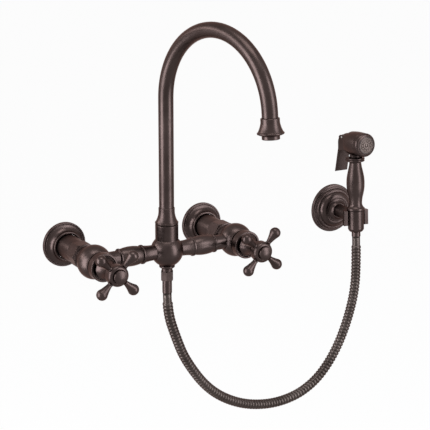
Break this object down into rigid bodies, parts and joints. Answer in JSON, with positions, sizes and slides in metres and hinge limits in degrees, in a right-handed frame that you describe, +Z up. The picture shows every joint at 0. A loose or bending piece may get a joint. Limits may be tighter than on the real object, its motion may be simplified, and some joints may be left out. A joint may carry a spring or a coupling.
{
  "type": "two handle kitchen faucet",
  "caption": "Wall-mounted bridge kitchen faucet with cross handles, a swivelling gooseneck spout and a hand spray on a ribbed hose in its own wall bracket.",
  "frame": {"origin": "on the wall plane, midway between the two inlets, at their height", "axes": "+X to the right along the wall, -Y out into the room, +Z up"},
  "size_m": [0.482, 0.2925, 0.5554],
  "materials": {
    "bronze": "satin dark oil-rubbed bronze plating on brass",
    "hose": "satin dark bronze ribbed metal hose",
    "face": "satin lighter bronze spray face",
    "brass": "machined brass",
    "steel": "plain stainless steel",
    "rubber": "black sealing rubber",
    "acetal": "white moulded plastic"
  },
  "bodies": {
    "faucet": {"left_escutcheon": "bronze", "left_inlet_sleeve": "bronze", "left_union_nut": "bronze", "left_valve_body": "bronze", "left_bonnet": "bronze", "left_bridge_arm": "bronze", "left_union_washer": "rubber", "left_cartridge": "acetal", "right_escutcheon": "bronze", "right_inlet_sleeve": "bronze", "right_union_nut": "bronze", "right_valve_body": "bronze", "right_bonnet": "bronze", "right_bridge_arm": "bronze", "right_union_washer": "rubber", "right_cartridge": "acetal", "centre_body": "bronze", "spout_collar": "bronze", "hose_nut": "bronze", "hose_ferrule_top": "bronze", "bracket_flange": "bronze", "bracket_post": "bronze", "bracket_fork": "bronze", "hose_washer": "rubber", "diverter": "acetal", "wall_plate": "steel", "plate_screws": "steel", "spray_hose": "hose"},
    "spout": {"spout_tube": "bronze", "spout_spigot": "brass", "spout_seal_rings": "rubber", "spout_keeper_ring": "brass", "spout_bell": "bronze", "aerator_housing": "bronze", "aerator_insert": "acetal"},
    "left_handle": {"left_stem": "brass", "left_handle_hub": "bronze", "left_handle_arms": "bronze", "left_handle_cap": "bronze", "left_handle_screw": "steel"},
    "right_handle": {"right_stem": "brass", "right_handle_hub": "bronze", "right_handle_arms": "bronze", "right_handle_cap": "bronze", "right_handle_screw": "steel"},
    "spray": {"spray_nut": "bronze", "hose_ferrule_spray": "bronze", "spray_washer": "rubber", "spray_grip": "bronze", "spray_head": "bronze", "spray_face": "face", "lever_pin": "steel"},
    "lever": {"spray_lever": "bronze"},
    "plunger": {"spray_plunger": "brass"}
  },
  "joints": [
    {"name": "spout_swivel", "type": "hinge", "parent": "faucet", "child": "spout", "pos_m": [0, -0.0926, 0.04], "axis": [0, 0, 1], "range_deg": [-101.5, 78.5]},
    {"name": "left_handle_turn", "type": "hinge", "parent": "faucet", "child": "left_handle", "pos_m": [-0.1016, -0.1, 0], "axis": [0, 1, 0], "range_deg": [-90, 0]},
    {"name": "right_handle_turn", "type": "hinge", "parent": "faucet", "child": "right_handle", "pos_m": [0.1016, -0.1, 0], "axis": [0, 1, 0], "range_deg": [0, 90]},
    {"name": "spray_lift", "type": "slide", "parent": "faucet", "child": "spray", "axis": [0, 0.0651, 0.9979], "range_m": [0, 0.045], "deforming": ["spray_hose"]},
    {"name": "lever_squeeze", "type": "hinge", "parent": "spray", "child": "lever", "pos_m": [0.3167, -0.03404, 0.10464], "axis": [-1, 0, 0], "range_deg": [0, 8], "stiffness_Nm_per_rad": 0.3, "springref_deg": -8.59},
    {"name": "plunger_push", "type": "slide", "parent": "spray", "child": "plunger", "axis": [0, -0.9979, 0.0651], "range_m": [0, 0.0011]}
  ],
  "couplings": [
    {"joint": "plunger_push", "follows": "lever_squeeze", "m_per_rad": 0.0075}
  ]
}
